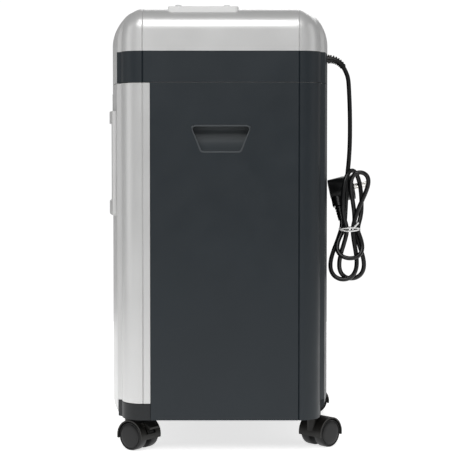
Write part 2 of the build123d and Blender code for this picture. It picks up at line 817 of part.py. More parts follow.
def make_gearbox_plate():
    """The outer plate that carries the idler's spindle, on four pillars."""
    with BuildPart() as plate:
        with BuildSketch(Plane.YZ.offset(GEARBOX_X)):
            with Locations((1, 560)):
                RectangleRounded(162, 80, 6)
            with Locations(IDLER):
                Circle(IDLER_R + RUNNING, mode=Mode.SUBTRACT)
        extrude(amount=2.5)
        for centre in PILLARS:
            tube_x(PLATE_X + PLATE_THICK, GEARBOX_X, 4, centre)
    finish(plate, "gearbox_plate")


def make_motor_housing():
    """The motor's can with vented end bells; it bolts to the right-hand plate."""
    with BuildPart() as can:
        tube_x(22, 120, MOTOR_R, MOTOR)
        tube_x(26, 116, MOTOR_R - 3, MOTOR, mode=Mode.SUBTRACT)
        tube_x(120, PLATE_X, 16, MOTOR)
        tube_x(14, 22, 9, MOTOR)
        tube_x(18, 130, MOTOR_SHAFT_R + RUNNING, MOTOR, mode=Mode.SUBTRACT)
    finish(can, "motor_housing")


def make_motor_rotor():
    """Armature, cooling fan, shaft and pinion; a pinion tooth meets a gap of the idler."""
    with BuildPart() as rotor:
        tube_x(20, 158.5, MOTOR_SHAFT_R, MOTOR)
        tube_x(40, 84, 15, MOTOR)
        tube_x(88, 108, 9, MOTOR)
        with BuildSketch(Plane.YZ.offset(98)):
            with Locations(MOTOR):
                with PolarLocations(13, 8):
                    Rectangle(24, 1.6)
        extrude(amount=10)
        toothed(151.7, 158.3, MOTOR, FINE, PINION_TEETH, MOTOR_TURN + 180)
    finish(rotor, "motor_rotor")


def make_control_board():
    """The control board on its posts, with transformer, relay, connector and capacitor."""
    deck = BAND_BOTTOM + WALL
    top = BOARD_HIGH[2]
    with BuildPart() as board:
        keep_box(BOARD_LOW, BOARD_HIGH, Mode.ADD)
        for x in (BOARD_LOW[0] + 6, BOARD_HIGH[0] - 6):
            for y in (BOARD_LOW[1] + 6, BOARD_HIGH[1] - 6):
                keep_box((x - 3, y - 3, deck), (x + 3, y + 3, BOARD_LOW[2]), Mode.ADD)
        keep_box((-108, 44, top), (-72, 74, top + 26.4), Mode.ADD)
        keep_box((-62, 46, top), (-44, 66, top + 15.4), Mode.ADD)
        keep_box((-104, 84, top), (-50, 96, top + 10.4), Mode.ADD)
        with BuildSketch(Plane.XY.offset(top)):
            with Locations((-28, 66)):
                Circle(11)
        extrude(amount=34)
    finish(board, "control_board")


def make_interlock_switch():
    """The switch that stops the motor while the bin is out."""
    with BuildPart() as switch:
        keep_box((150, -60, 500), (172, -50, 512), Mode.ADD)
        keep_box((160, -58, 512), (172, -52, BAND_BOTTOM), Mode.ADD)
        keep_box((153, -62, 496), (156, -48, 500), Mode.ADD)
    finish(switch, "interlock_switch")


def make_head_screws():
    """Four screws in the head's floor, with hexagon recesses."""
    deck = BAND_BOTTOM + WALL
    places = [(x, y) for x in (-178, 178) for y in (-100, 100)]
    with BuildPart() as screws:
        with BuildSketch(Plane.XY.offset(deck)):
            with Locations(*places):
                Circle(3.5)
        extrude(amount=2.6)
        with BuildSketch(Plane.XY.offset(deck + 2.6)):
            with Locations(*places):
                RegularPolygon(1.6, 6)
        extrude(amount=-1.4, mode=Mode.SUBTRACT)
    finish(screws, "head_screws")


# ---------------------------------------------------------------- waste bin
def make_bin_front():
    """The silver front of the pull-out bin, wrapped round both front corners."""
    with BuildPart() as foot:
        bow_slab(True, 0.0, 16.0, CREASE_X - 1, FRONT_BOTTOM, WRAP_BOTTOM)
        rim = foot.edges().group_by(Axis.Z)[0].filter_by(GeomType.CIRCLE)
        fillet(rim.sort_by(Axis.Y)[0], 13)
        keep_box((-200, -200, 0), (200, -FOOT_Y, 700))
    with BuildPart() as front:
        wall_ring(WRAP_BOTTOM, CABINET_TOP - 0.4)
        keep_box((-200, -200, 0), (200, SEAM_Y - 0.4, 700))
        cut_grooves(WRAP_BOTTOM, CABINET_TOP)
        add(foot.part)
        for x in (-118, 118):
            for z in (120, 300):
                with BuildSketch(Plane.XZ.offset(-BIN_FRONT)):
                    with Locations((x, z)):
                        Circle(7)
                extrude(amount=10)
        inner = WINDOW_BORDER - 3
        keep_box(
            (-WINDOW_HALF + inner, -180, WINDOW_BOTTOM + inner),
            (WINDOW_HALF - inner, -135, WINDOW_TOP - inner),
            Mode.SUBTRACT,
        )
        keep_box(
            (-PULL_HALF - 2, -180, PULL_LOW - 2),
            (PULL_HALF + 2, -135, PULL_HIGH + 2),
            Mode.SUBTRACT,
        )
    finish(front, "bin_front")


def make_bin_pull():
    """The finger pull: a shallow cup above the window."""
    face = -FRONT_BOW
    with BuildPart() as pull:
        keep_box(
            (-PULL_HALF - 1.95, face - 5, PULL_LOW - 1.95),
            (PULL_HALF + 1.95, face + PULL_DEPTH + 2, PULL_HIGH + 1.95),
            Mode.ADD,
        )
        bow_slab(True, 30.0, -0.4, 200, 450, 520, mode=Mode.SUBTRACT)
        keep_box(
            (-PULL_HALF, face - 10, PULL_LOW),
            (PULL_HALF, face + PULL_DEPTH, PULL_HIGH),
            Mode.SUBTRACT,
        )
    finish(pull, "bin_pull")


def make_window_frame():
    """The raised frame round the bin's window; its top edge is the grip of the finger pull."""
    inner_x = WINDOW_HALF - WINDOW_BORDER
    with BuildPart() as frame:
        bow_slab(True, PROUD, -0.02, WINDOW_HALF, WINDOW_BOTTOM, WINDOW_TOP)
        outside = frame.edges().filter_by(Axis.Z).group_by(Axis.Y)[0]
        keep_box(
            (-inner_x, -200, WINDOW_BOTTOM + WINDOW_BORDER),
            (inner_x, -140, WINDOW_TOP - WINDOW_BORDER),
            Mode.SUBTRACT,
        )
        chamfer(outside, 3.0)
    finish(frame, "window_frame")


def make_window_pane():
    """The smoked pane that shows how full the bin is."""
    edge = WINDOW_BORDER - 2.8
    with BuildPart() as pane:
        bow_slab(True, 0.0, 2.6, WINDOW_HALF - edge, WINDOW_BOTTOM + edge, WINDOW_TOP - edge)
    finish(pane, "window_pane")


def make_bin_bucket():
    """The open-topped bucket, with its window opening and three skids underneath."""
    deep = BIN_BACK - BIN_FRONT
    middle = (BIN_BACK + BIN_FRONT) / 2
    with BuildPart() as bucket:
        with BuildSketch(Plane.XY.offset(BIN_FLOOR)):
            with Locations((0, middle)):
                RectangleRounded(2 * BIN_HALF, deep, 14)
        extrude(amount=BIN_TOP - BIN_FLOOR)
        with BuildSketch(Plane.XY.offset(BIN_FLOOR + BIN_WALL)):
            with Locations((0, middle)):
                RectangleRounded(2 * (BIN_HALF - BIN_WALL), deep - 2 * BIN_WALL, 11.5)
        extrude(amount=BIN_TOP - BIN_FLOOR, mode=Mode.SUBTRACT)
        half = WINDOW_HALF - WINDOW_BORDER
        keep_box((-half, BIN_FRONT - 2, 350), (half, BIN_FRONT + 5, 458), Mode.SUBTRACT)
        for x in (-110, 0, 110):
            keep_box((x - 5, -120, BASE_TOP + 0.3), (x + 5, 110, BIN_FLOOR), Mode.ADD)
    finish(bucket, "bin_bucket")


# ---------------------------------------------------------------- casters
def caster_planes(side, end, turn):
    """The caster's stem plane, and its wheel plane with the axle along local Z."""
    way = math.radians(turn)
    trail = Vector(math.cos(way), math.sin(way), 0)
    axle = Vector(math.sin(way), -math.cos(way), 0)
    stem = Vector(side * CASTER_X, end * CASTER_Y, 0)
    hub = stem + trail * TRAIL + Vector(0, 0, WHEEL_R)
    return Plane(origin=stem, x_dir=trail, z_dir=(0, 0, 1)), Plane(origin=hub, x_dir=trail, z_dir=axle)


def make_caster_housing(label, stem, wheel, braked):
    """Hood over both wheels, the web between them, and the boss round the stem."""
    with BuildPart() as housing:
        with BuildSketch(wheel.offset(-WHEEL_OUTER)):
            Circle(HOOD_R)
            with Locations((0, -WHEEL_R - 4)):
                Rectangle(80, 2 * WHEEL_R, mode=Mode.SUBTRACT)
        extrude(amount=2 * WHEEL_OUTER)
        with BuildSketch(stem.offset(24)):
            Circle(7)
        extrude(amount=20.5)
        for side in (-1, 1):
            with BuildSketch(wheel.offset(side * (WHEEL_INNER - 0.4))):
                Circle(WHEEL_R + 0.7)
            extrude(amount=side * 30, mode=Mode.SUBTRACT)
        with BuildSketch(wheel.offset(-WHEEL_INNER + 0.4)):
            Circle(7)
        extrude(amount=2 * (WHEEL_INNER - 0.4))
        if braked:
            with BuildSketch(wheel.offset(-10.3)):
                with Locations((18, 12)):
                    Rectangle(13, 17)
                Circle(WHEEL_R + 0.7, mode=Mode.SUBTRACT)
            extrude(amount=20.6, mode=Mode.SUBTRACT)
            for side in (-1, 1):
                with BuildSketch(wheel.offset(side * 10.5)):
                    with Locations(BRAKE_PIVOT):
                        Circle(3.2)
                    Circle(WHEEL_R + 0.9, mode=Mode.SUBTRACT)
                extrude(amount=side * 3)
            with BuildSketch(wheel.offset(-15)):
                with Locations(BRAKE_PIVOT):
                    Circle(BRAKE_PIN_R + 2 * RUNNING)
            extrude(amount=30, mode=Mode.SUBTRACT)
        with BuildSketch(wheel.offset(-AXLE_HALF)):
            Circle(AXLE_R)
        extrude(amount=2 * AXLE_HALF, mode=Mode.SUBTRACT)
        with BuildSketch(stem.offset(27)):
            Circle(STEM_R)
        extrude(amount=40, mode=Mode.SUBTRACT)
    finish(housing, f"caster_housing_{label}")


def make_brake_lever(label, wheel):
    """The foot brake: a lever over the wheels, on a pin between two ears."""
    with BuildPart() as lever:
        with BuildSketch(wheel.offset(-9.8)):
            with BuildLine():
                Polyline(*BRAKE_LEVER, close=True)
            make_face()
            Circle(WHEEL_R + 1.6, mode=Mode.SUBTRACT)
        extrude(amount=19.6)
        with BuildSketch(wheel.offset(-13)):
            with Locations(BRAKE_PIVOT):
                Circle(BRAKE_PIN_R)
        extrude(amount=26)
    finish(lever, f"brake_lever_{label}")


def make_caster_pins(label, stem, wheel):
    """The steel stem and the axle."""
    with BuildPart() as pins:
        with BuildSketch(stem.offset(27)):
            Circle(STEM_R)
        extrude(amount=37)
        with BuildSketch(wheel.offset(-AXLE_HALF)):
            Circle(AXLE_R)
        extrude(amount=2 * AXLE_HALF)
    finish(pins, f"caster_pins_{label}")


def make_caster_wheels(label, wheel):
    """The twin wheels, dished on their outer faces, with blind bores."""
    with BuildPart() as wheels:
        for side in (-1, 1):
            profile = Plane(origin=wheel.origin, x_dir=wheel.z_dir * side, z_dir=wheel.x_dir * -side)
            with BuildSketch(profile):
                with BuildLine():
                    FilletPolyline(
                        (WHEEL_INNER, AXLE_R + RUNNING),
                        (WHEEL_INNER, WHEEL_R - 1),
                        (WHEEL_INNER + 1, WHEEL_R),
                        (WHEEL_OUTER - 3, WHEEL_R),
                        (WHEEL_OUTER - 0.4, WHEEL_R - 3),
                        (WHEEL_OUTER - 0.4, WHEEL_R - 5),
                        (WHEEL_OUTER - 1.6, WHEEL_R - 6),
                        (WHEEL_OUTER - 1.6, 6),
                        (WHEEL_OUTER, 5),
                        (WHEEL_OUTER, 0),
                        radius=0.4,
                    )
                    Polyline(
                        (WHEEL_OUTER, 0),
                        (AXLE_HALF + 0.4, 0),
                        (AXLE_HALF + 0.4, AXLE_R + RUNNING),
                        (WHEEL_INNER, AXLE_R + RUNNING),
                    )
                make_face()
            revolve(axis=Axis(wheel.origin, wheel.z_dir))
    finish(wheels, f"caster_wheels_{label}")


def make_casters():
    """All four casters. Only the front pair has brakes."""
    for label, side, end, turn in CASTERS:
        stem, wheel = caster_planes(side, end, turn)
        braked = end < 0
        make_caster_housing(label, stem, wheel, braked)
        make_caster_pins(label, stem, wheel)
        make_caster_wheels(label, wheel)
        if braked:
            make_brake_lever(label, wheel)


# ---------------------------------------------------------------- mains cord
def make_strain_relief():
    """The ribbed rubber relief: a flange on the wall, then rings on a core that bends down."""
    chord = math.dist(RELIEF_START, RELIEF_END)
    half_turn = math.radians(RELIEF_TURN / 2)
    radius = chord / (2 * math.sin(half_turn))
    chord_way = math.atan2(RELIEF_END[1] - RELIEF_START[1], RELIEF_END[0] - RELIEF_START[0])

    def along(part):
        """Place and direction at a share of the bend."""
        first = chord_way + half_turn
        way = first - 2 * half_turn * part
        y = RELIEF_START[0] + radius * (math.sin(first) - math.sin(way))
        z = RELIEF_START[1] - radius * (math.cos(first) - math.cos(way))
        return Vector(EXIT_X, y, z), Vector(0, math.cos(way), math.sin(way))

    with BuildPart() as relief:
        with BuildLine():
            ThreePointArc(along(0)[0], along(0.5)[0], along(1)[0])
        place, way = along(0)
        with BuildSketch(Plane(origin=place, x_dir=(1, 0, 0), z_dir=way)):
            Circle(4.0)
        sweep()
        for i in range(7):
            place, way = along((i + 1.5) / 8.2)
            with BuildSketch(Plane(origin=place, x_dir=(1, 0, 0), z_dir=way)):
                Circle(6.2 - 0.27 * i)
            extrude(amount=1.0, both=True)
        for y, radius, thick in ((146.0, 5.0, 9.0), (153.2, 6.5, 2.0), (144.5, 7.0, 2.0)):
            with BuildSketch(Plane.XZ.offset(-y)):
                with Locations((EXIT_X, RELIEF_START[1])):
                    Circle(radius)
            extrude(amount=-thick)
    finish(relief, "strain_relief")


def corner_radii(route):
    """The largest arc at each corner that leaves a little of both its runs."""
    spots = [Vector(*p) for p in route]
    radii = []
    for before, here, after in zip(spots, spots[1:], spots[2:]):
        turn = math.radians((here - before).get_angle(after - here))
        shorter = min((here - before).length, (after - here).length)
        radii.append(0.45 * shorter / math.tan(turn / 2))
    return radii


def make_cord_lead():
    """The hanging stretch of cord, from the relief to the tied hank."""
    radii = corner_radii(CORD_ROUTE)
    print("cord corner radii, mm:", [round(r, 1) for r in radii])
    with BuildPart() as lead:
        with BuildLine() as path:
            FilletPolyline(*CORD_ROUTE, radius=radii)
        route = path.wires()[0]
        with BuildSketch(Plane(origin=route @ 0, x_dir=(1, 0, 0), z_dir=route % 0)):
            Circle(CORD_R)
        sweep()
    length = route.length
    share = lead.part.volume / (math.pi * CORD_R**2 * length)
    print("cord lead length, mm:", round(length, 1), "volume over section x length:", round(share, 4))
    finish(lead, "cord_lead")


def make_cord_hank():
    """The outer shape of the folded and tied length of cord."""
    with BuildPart() as hank:
        for z, y, half_x, half_y in HANK_SECTIONS:
            with BuildSketch(Plane.XY.offset(z)):
                with Locations((HANK_X, y)):
                    Ellipse(half_x, half_y)
        loft()
    finish(hank, "cord_hank")


def make_cord_tie():
    """A white twist tie round the waist of the hank, its ends twisted together."""
    with BuildPart() as tie:
        with BuildSketch(Plane.XY.offset(TIE_Z - 3)):
            with Locations((HANK_X, TIE_Y)):
                Ellipse(12.0, 15.5)
                Ellipse(10.6, 14.1, mode=Mode.SUBTRACT)
        extrude(amount=6)
        with BuildSketch(Plane.XZ.offset(-TIE_Y - 14.6)):
            with Locations((HANK_X, TIE_Z + 1)):
                Ellipse(2.2, 2.6)
        extrude(amount=-9)
    finish(tie, "cord_tie")


def plug_plane(along):
    """A plane across the plug's pins, a distance along them from the plug's middle."""
    tilt = math.radians(PLUG_TILT)
    way = Vector(0, math.cos(tilt), math.sin(tilt))
    place = Vector(PLUG_X, PLUG_Y, PLUG_Z) + way * along
    across = Vector(1, 0, 0).rotate(Axis((0, 0, 0), way), PLUG_ROLL)
    return Plane(origin=place, x_dir=across, z_dir=way)


def make_plug():
    """A moulded two-pin earthed plug with its cord leaving at the side."""
    with BuildPart() as plug:
        with BuildSketch(plug_plane(3)):
            Circle(18.0)
        extrude(amount=14)
        with BuildSketch(plug_plane(3)):
            Circle(18.0)
        with BuildSketch(plug_plane(-18)):
            with Locations((0, -3)):
                RectangleRounded(22, 26, 7)
        loft()
        tail = plug_plane(0)
        axis = tail.y_dir
        start = tail.origin + tail.z_dir * -9
        for i, (low, high, size) in enumerate(((10, 24, 9.0), (23, 45, 5.2))):
            with BuildSketch(Plane(origin=start + axis * low, x_dir=(1, 0, 0), z_dir=axis)):
                Circle(size)
            extrude(amount=high - low)
        for i in range(5):
            with BuildSketch(Plane(origin=start + axis * (26 + 4 * i), x_dir=(1, 0, 0), z_dir=axis)):
                Circle(6.6 - 0.35 * i)
            extrude(amount=2.2)
    finish(plug, "plug")


def make_plug_pins():
    """The plug's two round pins."""
    with BuildPart() as pins:
        with BuildSketch(plug_plane(17)):
            with Locations((-PIN_GAP / 2, 0), (PIN_GAP / 2, 0)):
                Circle(PIN_R)
        extrude(amount=19)
        fillet(pins.edges().filter_by(GeomType.CIRCLE).group_by(Axis.Y)[-1], 1.2)
    finish(pins, "plug_pins")


make_side_panel(1, "side_panel_right")
make_side_panel(-1, "side_panel_left")
make_hand_grip(1, "hand_grip_right")
make_hand_grip(-1, "hand_grip_left")
make_back_panel()
make_base_tray()
make_top_frame()
make_bin_rails()
make_head_shell()
make_front_fascia()
make_top_cover()
make_feed_panel()
make_indicator_lenses()
for name, place_y, dome in BUTTON_PLACES:
    make_button(name, place_y, dome)
make_feed_throat()
make_paper_sensor()
make_cutter_plate(1, "cutter_plate_right")
make_cutter_plate(-1, "cutter_plate_left")
make_tie_rods()
make_shaft_bushes()
make_cutter_shaft("cutter_shaft_front", FRONT_SHAFT_Y, 140.5, 0)
make_cutter_shaft("cutter_shaft_rear", REAR_SHAFT_Y, 151, DISC_PITCH / 2)
make_comb("comb_front", FRONT_SHAFT_Y, -1, 0)
make_comb("comb_rear", REAR_SHAFT_Y, 1, DISC_PITCH / 2)
make_sync_gear("cutter_gear_front", FRONT_SHAFT, 0)
make_sync_gear("cutter_gear_rear", REAR_SHAFT, 180 + 180 / SYNC_TEETH)
make_drive_gear()
make_idler_gear()
make_gearbox_plate()
make_motor_housing()
make_motor_rotor()
make_control_board()
make_interlock_switch()
make_head_screws()
make_bin_front()
make_bin_pull()
make_window_frame()
make_window_pane()
make_bin_bucket()
make_casters()
make_strain_relief()
make_cord_lead()
make_cord_hank()
make_cord_tie()
make_plug()
make_plug_pins()
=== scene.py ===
"""A free-standing office paper shredder: camera, cord, silver cover, wheels, materials and light."""

import json
import math

import bmesh
import bpy
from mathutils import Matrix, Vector


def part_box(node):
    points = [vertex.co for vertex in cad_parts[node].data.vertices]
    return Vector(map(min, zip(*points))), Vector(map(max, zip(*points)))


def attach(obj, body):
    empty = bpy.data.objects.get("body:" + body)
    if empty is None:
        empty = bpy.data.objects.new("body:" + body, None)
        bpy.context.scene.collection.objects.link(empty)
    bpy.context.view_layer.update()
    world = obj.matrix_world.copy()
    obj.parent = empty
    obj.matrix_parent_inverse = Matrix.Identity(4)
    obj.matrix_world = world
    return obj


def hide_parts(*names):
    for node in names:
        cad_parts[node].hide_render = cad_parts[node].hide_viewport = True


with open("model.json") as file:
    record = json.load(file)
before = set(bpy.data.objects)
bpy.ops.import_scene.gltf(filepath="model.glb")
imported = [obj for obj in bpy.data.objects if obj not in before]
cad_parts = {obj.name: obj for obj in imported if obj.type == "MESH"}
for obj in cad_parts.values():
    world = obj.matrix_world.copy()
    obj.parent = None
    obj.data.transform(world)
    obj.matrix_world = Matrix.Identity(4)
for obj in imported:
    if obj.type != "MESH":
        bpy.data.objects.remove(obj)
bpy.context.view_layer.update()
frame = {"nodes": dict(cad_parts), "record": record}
NODES = frame["nodes"]

# ---------------------------------------------------------------- camera
CAMERA_PLACE = (2.195, 0.007, 0.435)
CAMERA_PITCH = 2.3
CAMERA_LENS = 115.8
CAMERA_SHIFT = -0.0577
SENSOR_WIDTH = 36.0
CLIP = (0.05, 60.0)


def make_camera():
    """A long lens looking along -X at the machine's right-hand side, a little downwards."""
    data = bpy.data.cameras.new("camera")
    data.lens = CAMERA_LENS
    data.sensor_width = SENSOR_WIDTH
    data.shift_y = CAMERA_SHIFT
    data.clip_start, data.clip_end = CLIP
    camera = bpy.data.objects.new("camera", data)
    camera.location = CAMERA_PLACE
    camera.rotation_euler = (math.radians(90 - CAMERA_PITCH), 0, math.radians(90))
    bpy.context.scene.collection.objects.link(camera)
    bpy.context.scene.camera = camera


make_camera()

# ---------------------------------------------------------------- mains cord
CORD_D = 0.0064
LEAD = [
    (0.1040, 0.1755, 0.5410),
    (0.1040, 0.1799, 0.5332),
    (0.1040, 0.1826, 0.5234),
    (0.1040, 0.1836, 0.5074),
    (0.1043, 0.1849, 0.4780),
    (0.1050, 0.1851, 0.4380),
    (0.1066, 0.1836, 0.4090),
    (0.1070, 0.1814, 0.3890),
]
INTO_TIE = [(0.1066, 0.1800, 0.3620), (0.1045, 0.1790, 0.3340)]
INTO_PLUG = [(0.0940, 0.1748, 0.3165), (0.0916, 0.1746, 0.3230), (0.0900, 0.1735, 0.3300)]

# The hank: five loops of different sizes, fanned out above and below the tie. The cord goes through
# the tie between one loop and the next, at these places across it.
TIE_Z = 0.309
CROSSINGS = [
    (0.1030, 0.1775),
    (0.1085, 0.1955),
    (0.1115, 0.1815),
    (0.1020, 0.1920),
    (0.1105, 0.1885),
    (0.0968, 0.1738),
]
# Each loop's reach from the tie (down is negative), width, lean towards +Y in degrees, the side
# it sets out on, how far its width is pushed to its tip, and its depth at the tip and from side
# to side.
LOOPS = [
    (-0.0415, 0.0270, 4.0, -1, 0.0, 0.0110, -0.0010),
    (0.0850, 0.0195, -0.5, 1, -0.5, -0.0020, 0.0085),
    (-0.0720, 0.0320, -1.5, -1, 0.3, -0.0060, 0.0000),
    (0.0830, 0.0270, 7.0, -1, 1.0, 0.0090, -0.0010),
    (-0.0730, 0.0310, 5.5, 1, 0.3, 0.0050, 0.0000),
]
LOOP_POINTS = 12
TUBE_ROUNDNESS = 5
CURVE_STEPS = 10
TUBE_SHARP = math.radians(50)


def loop_width(turn, push):
    """Half width of a loop at a turn from 0 to pi along it, before scaling."""
    return math.sin(2 * turn) * math.sin(turn) ** push


def loop_points(start, end, reach, width, lean, side, push, tip_depth, side_depth):
    """Points of one loop, from one place in the tie to the next."""
    lean = math.radians(lean)
    widest = max(loop_width(math.radians(step), push) for step in range(1, 90))
    points = []
    for i in range(1, LOOP_POINTS + 1):
        share = i / (LOOP_POINTS + 1)
        turn = math.pi * share
        along = reach * math.sin(turn)
        across = side * width / 2 * loop_width(turn, push) / widest
        depth = tip_depth * math.sin(turn) ** 2 - side_depth * math.sin(2 * turn)
        x = start[0] + (end[0] - start[0]) * share + depth
        y = start[1] + (end[1] - start[1]) * share
        y += along * math.sin(lean) + across * math.cos(lean)
        z = TIE_Z + along * math.cos(lean) - across * math.sin(lean)
        points.append((x, y, z))
    return points


def cord_route():
    """The whole cord: down from the back wall, through the tied loops, and up into the plug."""
    route = LEAD + INTO_TIE
    for start, end, loop in zip(CROSSINGS, CROSSINGS[1:], LOOPS):
        route.append((*start, TIE_Z))
        route += loop_points(start, end, *loop)
    route.append((*CROSSINGS[-1], TIE_Z))
    return route + INTO_PLUG


def link(piece):
    """Put a piece into the scene."""
    bpy.context.scene.collection.objects.link(piece)
    return piece


def make_curve(name, points, radius):
    """A round tube on one smooth open curve; each point carries the tube's radius."""
    data = bpy.data.curves.new(name, "CURVE")
    data.dimensions = "3D"
    data.bevel_depth = 1.0 if radius else 0.0
    data.bevel_resolution = TUBE_ROUNDNESS
    data.resolution_u = CURVE_STEPS
    data.use_fill_caps = True
    spline = data.splines.new("NURBS")
    spline.points.add(len(points) - 1)
    for spot, place in zip(spline.points, points):
        spot.co = (*place, 1)
        spot.radius = radius
    spline.order_u = 3
    spline.use_endpoint_u = True
    return link(bpy.data.objects.new(name, data))


def as_mesh(curve):
    """The same tube as a mesh, under the same name."""
    name = curve.name
    mesh = bpy.data.meshes.new_from_object(curve)
    bpy.data.objects.remove(curve)
    for face in mesh.polygons:
        face.use_smooth = True
    mesh.set_sharp_from_angle(angle=TUBE_SHARP)
    return link(bpy.data.objects.new(name, mesh))


def curve_length(points):
    """Length of the smooth curve through a route, measured on it before it has any thickness."""
    bare = make_curve("measure", points, 0.0)
    mesh = bpy.data.meshes.new_from_object(bare)
    ends = [[mesh.vertices[i].co for i in edge.vertices] for edge in mesh.edges]
    total = sum((b - a).length for a, b in ends)
    bpy.data.objects.remove(bare)
    bpy.data.meshes.remove(mesh)
    return total


ROUTE = cord_route()
CORD_LENGTH = curve_length(ROUTE)
cord = make_curve("mains_cord", ROUTE, CORD_D / 2)
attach(cord, "cabinet")
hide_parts("cord_lead", "cord_hank")

TIE_MIDDLE = Vector((0.1045, 0.1850, TIE_Z))
TIE_WIRE_R = 0.0010
TIE_END_R = TIE_WIRE_R * 0.8
TIE_LIFTS = (-0.0014, 0.0013)
TIE_HALF_X = 0.0118
TIE_HALF_Y = 0.0150
TIE_WAVE = 0.0011
TIE_WAVE_SHIFT = 900       # radians per metre of lift, so that the two turns don't run parallel
TIE_SPAN = 24
KNOT = TIE_MIDDLE + Vector((0.0124, 0.0030, 0.0))
KNOT_TIP = KNOT + Vector((0.0020, 0.0085, 0.0100))
TWIST_SPAN = 12
TWIST_R = 0.0007


def make_tie():
    """A white wire tie: two turns round the hank's waist, and its two ends twisted together."""
    pieces = []
    for lift in TIE_LIFTS:
        points = []
        for i in range(TIE_SPAN + 1):
            a = 2 * math.pi * i / TIE_SPAN - 0.3
            rise = lift + TIE_WAVE * math.sin(2 * a + lift * TIE_WAVE_SHIFT)
            points.append(TIE_MIDDLE + Vector((TIE_HALF_X * math.cos(a), TIE_HALF_Y * math.sin(a), rise)))
        name = f"cord_tie_turn_{len(pieces) + 1}"
        pieces.append(as_mesh(make_curve(name, points, TIE_WIRE_R)))
    for phase in (0.0, math.pi):
        points = []
        for i in range(TWIST_SPAN + 1):
            a = phase + i / TWIST_SPAN * 3 * math.pi
            off_axis = Vector((math.cos(a), 0, math.sin(a))) * TWIST_R
            points.append(KNOT.lerp(KNOT_TIP, i / TWIST_SPAN) + off_axis)
        name = f"cord_tie_end_{len(pieces) - 1}"
        pieces.append(as_mesh(make_curve(name, points, TIE_END_R)))
    for piece in pieces:
        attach(piece, "cabinet")
    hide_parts("cord_tie")
    return pieces


tie = make_tie()

# ---------------------------------------------------------------- silver cover
HALF_WIDTH = 0.195
SIDE_FLAT = 0.1078
CORNER_R = 0.031
CREASE = (0.157, 0.1455)
FRONT_BOW = 0.161
BACK_BOW = 0.157
SHOULDER_R = 0.029
END_R = 0.046
GROOVE_HALF = 0.0011
GROOVE_DEPTH = 0.0012
COVER_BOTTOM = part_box("top_cover")[0].z
COVER_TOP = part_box("top_cover")[1].z
SIDE_STEPS = (0.0, 0.02, 0.04, 0.06, 0.08, 0.098, 0.104, SIDE_FLAT - GROOVE_HALF)
CORNER_STEPS = 11
CORNER_START = 2.0
CORNER_SWEEP = 88.0
CREASE_SHARES = (0.35, 0.7, 0.97)
BOW_STEPS = 16
BOW_SHARE = 0.995
WALL = 0.0034
RISE_STEPS = 22
EDGE_HEIGHT = 0.0006
BAND_HEIGHT = 0.008
PANEL_OPENING = (0.1770, -0.0660, 0.0170)      # half width, low Y, high Y
PANEL_SEAT = (0.1844, -0.0734, 0.0248)
SEAT_DEPTH = 0.0005
TOP_HALF = 0.1668
CUT_ABOVE = COVER_TOP + 0.02
CUT_BELOW = COVER_TOP - 0.03
COVER_SHARP = math.radians(28)


def cover_outline():
    """The plan of the cover as (x, y, groove depth) points: the right half, then the left."""
    quarter = []
    for end, bow in ((1, BACK_BOW), (-1, FRONT_BOW)):
        half = []
        for y in SIDE_STEPS:
            half.append((HALF_WIDTH, y, 0.0))
        half.append((HALF_WIDTH, SIDE_FLAT, GROOVE_DEPTH))
        for i in range(CORNER_STEPS + 1):
            a = math.radians(CORNER_START + CORNER_SWEEP * i / CORNER_STEPS)
            x = HALF_WIDTH - CORNER_R + CORNER_R * math.cos(a)
            half.append((x, SIDE_FLAT + CORNER_R * math.sin(a), 0.0))
        for share in CREASE_SHARES:
            x, y = HALF_WIDTH - CORNER_R, SIDE_FLAT + CORNER_R
            half.append((x + (CREASE[0] - x) * share, y + (CREASE[1] - y) * share, 0.0))
        rise = bow - CREASE[1]
        radius = (CREASE[0] ** 2 + rise**2) / (2 * rise)
        for i in range(BOW_STEPS + 1):
            x = CREASE[0] * (1 - i / BOW_STEPS) * BOW_SHARE
            half.append((x, bow - radius + math.sqrt(radius**2 - x**2), 0.0))
        quarter.append([(x, end * y, d) for x, y, d in half])
    back, front = quarter
    right = back[1:] + [(-x, y, d) for x, y, d in reversed(back[:-1])]
    left = [(-x, y, d) for x, y, d in front[1:]] + [(x, y, d) for x, y, d in reversed(front[:-1])]
    return right + left


def cover_ring(outline, height, wall=0.0):
    """The cover's outline at a height, drawn in by the two roundings."""
    side = SHOULDER_R - wall
    end = END_R - wall
    top = COVER_TOP - wall
    rise_side = max(0.0, height - (top - side))
    rise_end = max(0.0, height - (top - end))
    inset_side = side - math.sqrt(max(0.0, side**2 - rise_side**2))
    inset_end = end - math.sqrt(max(0.0, end**2 - rise_end**2))
    ring = []
    for x, y, groove in outline:
        bow = FRONT_BOW if y < 0 else BACK_BOW
        end_length = bow - SIDE_FLAT - wall
        x_scale = (HALF_WIDTH - wall - inset_side - groove) / HALF_WIDTH
        past = abs(y) - SIDE_FLAT
        if past > 0:
            y = math.copysign(SIDE_FLAT + past * (end_length - inset_end) / (bow - SIDE_FLAT), y)
        ring.append((x * x_scale, y, height))
    return ring


def ring_heights(low, wall):
    """Heights of the cover's rings, closer together where its roundings turn faster."""
    top = COVER_TOP - wall
    radius = END_R - wall
    heights = {round(low + rise, 6) for rise in (0.0, EDGE_HEIGHT, BAND_HEIGHT)}
    for i in range(RISE_STEPS + 1):
        turn = math.radians(90 * i / RISE_STEPS)
        heights.add(round(top - radius + radius * math.sin(turn), 6))
    return sorted(heights)


